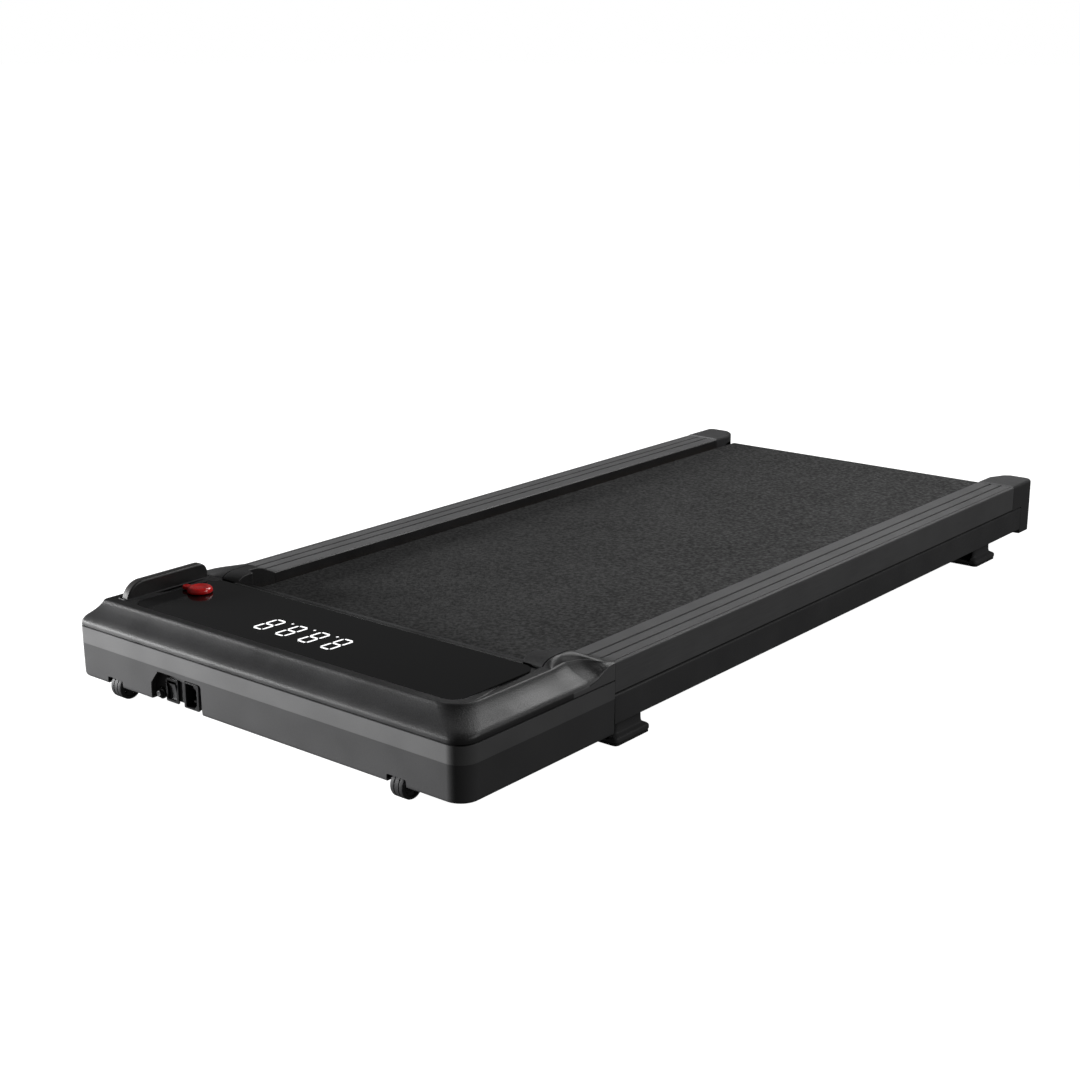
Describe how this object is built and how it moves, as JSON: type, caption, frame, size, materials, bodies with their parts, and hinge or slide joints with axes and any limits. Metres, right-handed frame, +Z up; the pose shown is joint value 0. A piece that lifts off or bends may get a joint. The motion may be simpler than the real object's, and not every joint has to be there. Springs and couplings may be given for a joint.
{
  "type": "treadmill",
  "caption": "Low under-desk walking treadmill: front hood with display and safety key, ribbed side rails, wide belt, transport wheels and flared feet.",
  "frame": {"origin": "centre of the footprint on the floor", "axes": "+Z up, -Y towards the display hood at the front, +X to the right when facing the hood from the front"},
  "size_m": [0.53, 1.156, 0.1105],
  "materials": {
    "hood_plastic": "fine textured charcoal plastic",
    "base_plastic": "satin grey plastic",
    "gloss_panel": "gloss black panel with white seven-segment digits",
    "rail_plastic": "satin dark grey, ribbed top",
    "frame_steel": "satin black powder coat",
    "bright_steel": "turned steel",
    "belt_pvc": "speckled diamond-textured PVC",
    "deck_wood": "waxed fibreboard",
    "rubber": "matt black rubber",
    "red_plastic": "gloss red",
    "black_plastic": "satin black",
    "circuit_board": "green circuit board",
    "aluminium": "plain aluminium",
    "white_plastic": "white plastic"
  },
  "bodies": {
    "frame": {"hood_cover": "hood_plastic", "end_cap_left": "hood_plastic", "end_cap_right": "hood_plastic", "hood_base": "base_plastic", "display_panel": "gloss_panel", "rail_left": "rail_plastic", "rail_right": "rail_plastic", "beam_left": "frame_steel", "beam_right": "frame_steel", "cross_member_1": "frame_steel", "cross_member_2": "frame_steel", "cross_member_3": "frame_steel", "front_subframe": "frame_steel", "motor_bracket": "frame_steel", "wheel_bracket_left": "frame_steel", "wheel_bracket_right": "frame_steel", "tension_block_left": "frame_steel", "tension_block_right": "frame_steel", "foot_front_left": "frame_steel", "foot_front_right": "frame_steel", "foot_rear_left": "frame_steel", "foot_rear_right": "frame_steel", "front_axle": "bright_steel", "rear_axle": "bright_steel", "walking_belt": "belt_pvc", "deck": "deck_wood", "deck_cushion_left": "rubber", "deck_cushion_right": "rubber", "drive_belt": "rubber", "pad_front_left": "rubber", "pad_front_right": "rubber", "pad_rear_left": "rubber", "pad_rear_right": "rubber", "remote_cradle": "black_plastic", "motor_body": "black_plastic", "power_panel": "black_plastic", "rocker_housing": "black_plastic", "ac_inlet": "black_plastic", "breaker_body": "black_plastic", "display_module": "circuit_board", "controller_board": "circuit_board", "heat_sink": "aluminium"},
    "front_roller": {"front_roller": "bright_steel", "drive_pulley": "aluminium"},
    "rear_roller": {"rear_roller": "bright_steel"},
    "motor_rotor": {"motor_rotor": "bright_steel", "motor_fan": "white_plastic", "motor_pulley": "aluminium"},
    "wheel_left": {"wheel_left": "black_plastic"},
    "wheel_right": {"wheel_right": "black_plastic"},
    "power_rocker": {"power_rocker": "red_plastic"},
    "breaker_button": {"breaker_button": "white_plastic"},
    "remote": {"remote_body": "black_plastic"},
    "remote_key_slower": {"remote_key_slower": "white_plastic"},
    "remote_key_start": {"remote_key_start": "white_plastic"},
    "remote_key_faster": {"remote_key_faster": "white_plastic"},
    "safety_key": {"safety_key": "red_plastic"},
    "tension_bolt_left": {"tension_bolt_left": "bright_steel"},
    "tension_bolt_right": {"tension_bolt_right": "bright_steel"}
  },
  "joints": [
    {"name": "front_roller_spin", "type": "hinge", "parent": "frame", "child": "front_roller", "pos_m": [0.005, -0.458, 0.0554], "axis": [1, 0, 0], "continuous": true},
    {"name": "rear_roller_spin", "type": "hinge", "parent": "frame", "child": "rear_roller", "pos_m": [0.005, 0.5535, 0.0554], "axis": [1, 0, 0], "continuous": true},
    {"name": "motor_spin", "type": "hinge", "parent": "frame", "child": "motor_rotor", "pos_m": [0.05, -0.53, 0.0554], "axis": [1, 0, 0], "continuous": true},
    {"name": "wheel_left_spin", "type": "hinge", "parent": "frame", "child": "wheel_left", "pos_m": [-0.211, -0.564, 0.0138], "axis": [1, 0, 0], "continuous": true},
    {"name": "wheel_right_spin", "type": "hinge", "parent": "frame", "child": "wheel_right", "pos_m": [0.185, -0.564, 0.0138], "axis": [1, 0, 0], "continuous": true},
    {"name": "power_rocker_tilt", "type": "hinge", "parent": "frame", "child": "power_rocker", "pos_m": [-0.1275, -0.5665, 0.029], "axis": [1, 0, 0], "range_deg": [-20, 0]},
    {"name": "breaker_press", "type": "slide", "parent": "frame", "child": "breaker_button", "axis": [0, 1, 0], "range_m": [0, 0.0022], "stiffness_N_per_m": 400},
    {"name": "remote_lift", "type": "slide", "parent": "frame", "child": "remote", "axis": [0, 0, 1], "range_m": [0, 0.06]},
    {"name": "remote_key_slower_press", "type": "slide", "parent": "remote", "child": "remote_key_slower", "axis": [-1, 0, 0], "range_m": [0, 0.0012], "stiffness_N_per_m": 300},
    {"name": "remote_key_start_press", "type": "slide", "parent": "remote", "child": "remote_key_start", "axis": [-1, 0, 0], "range_m": [0, 0.0012], "stiffness_N_per_m": 300},
    {"name": "remote_key_faster_press", "type": "slide", "parent": "remote", "child": "remote_key_faster", "axis": [-1, 0, 0], "range_m": [0, 0.0012], "stiffness_N_per_m": 300},
    {"name": "safety_key_lift", "type": "slide", "parent": "frame", "child": "safety_key", "axis": [0, 0, 1], "range_m": [0, 0.05]},
    {"name": "tension_bolt_left_turn", "type": "hinge", "parent": "frame", "child": "tension_bolt_left", "pos_m": [-0.232, 0.5765, 0.0554], "axis": [0, 1, 0], "continuous": true},
    {"name": "tension_bolt_right_turn", "type": "hinge", "parent": "frame", "child": "tension_bolt_right", "pos_m": [0.242, 0.5765, 0.0554], "axis": [0, 1, 0], "continuous": true}
  ],
  "couplings": [
    {"joint": "rear_roller_spin", "follows": "front_roller_spin", "ratio": 1},
    {"joint": "motor_spin", "follows": "front_roller_spin", "ratio": 2.4762}
  ]
}
